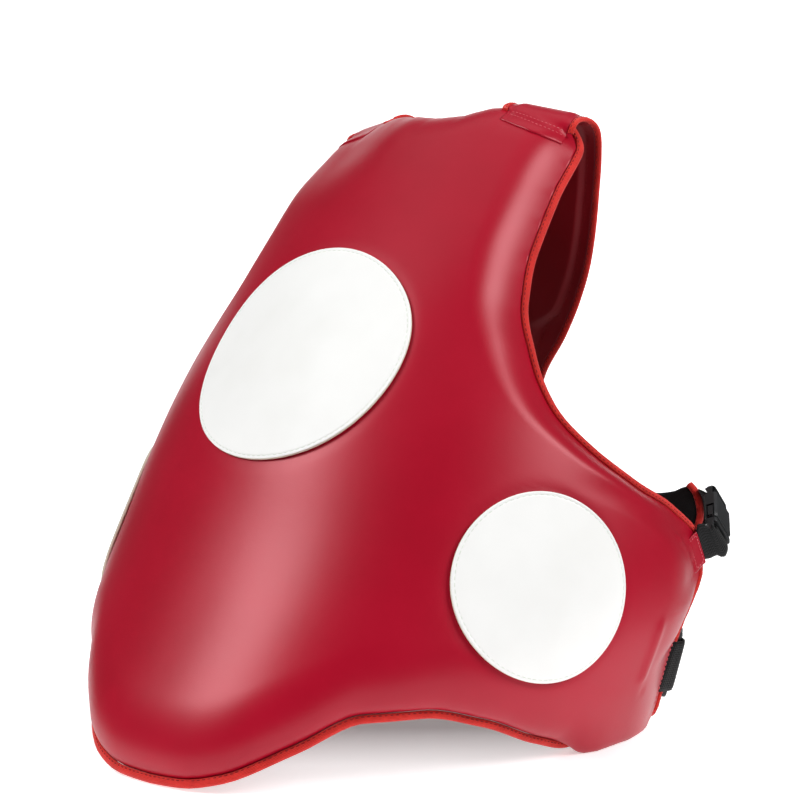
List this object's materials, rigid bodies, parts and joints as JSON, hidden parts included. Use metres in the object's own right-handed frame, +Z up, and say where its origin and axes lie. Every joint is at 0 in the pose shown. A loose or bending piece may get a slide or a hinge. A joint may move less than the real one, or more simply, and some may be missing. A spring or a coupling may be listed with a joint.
{
  "type": "trainer body protector",
  "caption": "Padded leather chest and belly protector for a trainer, free-standing on its belly tongue and flanks, with shoulder harness, buckled back band and waist belt.",
  "frame": {"origin": "on the floor, under the middle of the object's bounding box", "axes": "+Z up, the chest faces -Y, +X is the wearer's left"},
  "size_m": [0.5072, 0.5008, 0.5083],
  "materials": {
    "red_leather": "smooth semi-gloss crimson synthetic leather",
    "binding_tape": "matt woven orange-red tape",
    "white_leather": "satin off-white leather",
    "black_webbing": "matt ribbed black webbing",
    "black_plastic": "satin black moulded plastic"
  },
  "bodies": {
    "root": {"front_pad": "red_leather", "back_harness": "red_leather", "left_upper_tab": "red_leather", "right_upper_tab": "red_leather", "left_lower_tab": "black_webbing", "right_lower_tab": "black_webbing", "edge_binding": "binding_tape", "harness_outer_binding": "binding_tape", "harness_inner_binding": "binding_tape", "left_band_binding": "binding_tape", "right_band_binding": "binding_tape", "chest_patch": "white_leather", "left_flank_patch": "white_leather", "right_flank_patch": "white_leather", "back_band": "black_webbing", "left_webbing": "black_webbing", "right_webbing": "black_webbing", "left_back_webbing": "black_webbing", "right_back_webbing": "black_webbing", "waist_belt": "black_webbing", "left_buckle_male": "black_plastic", "right_buckle_male": "black_plastic", "left_buckle_female": "black_plastic", "right_buckle_female": "black_plastic", "left_ring": "black_plastic", "right_ring": "black_plastic"}
  },
  "joints": []
}
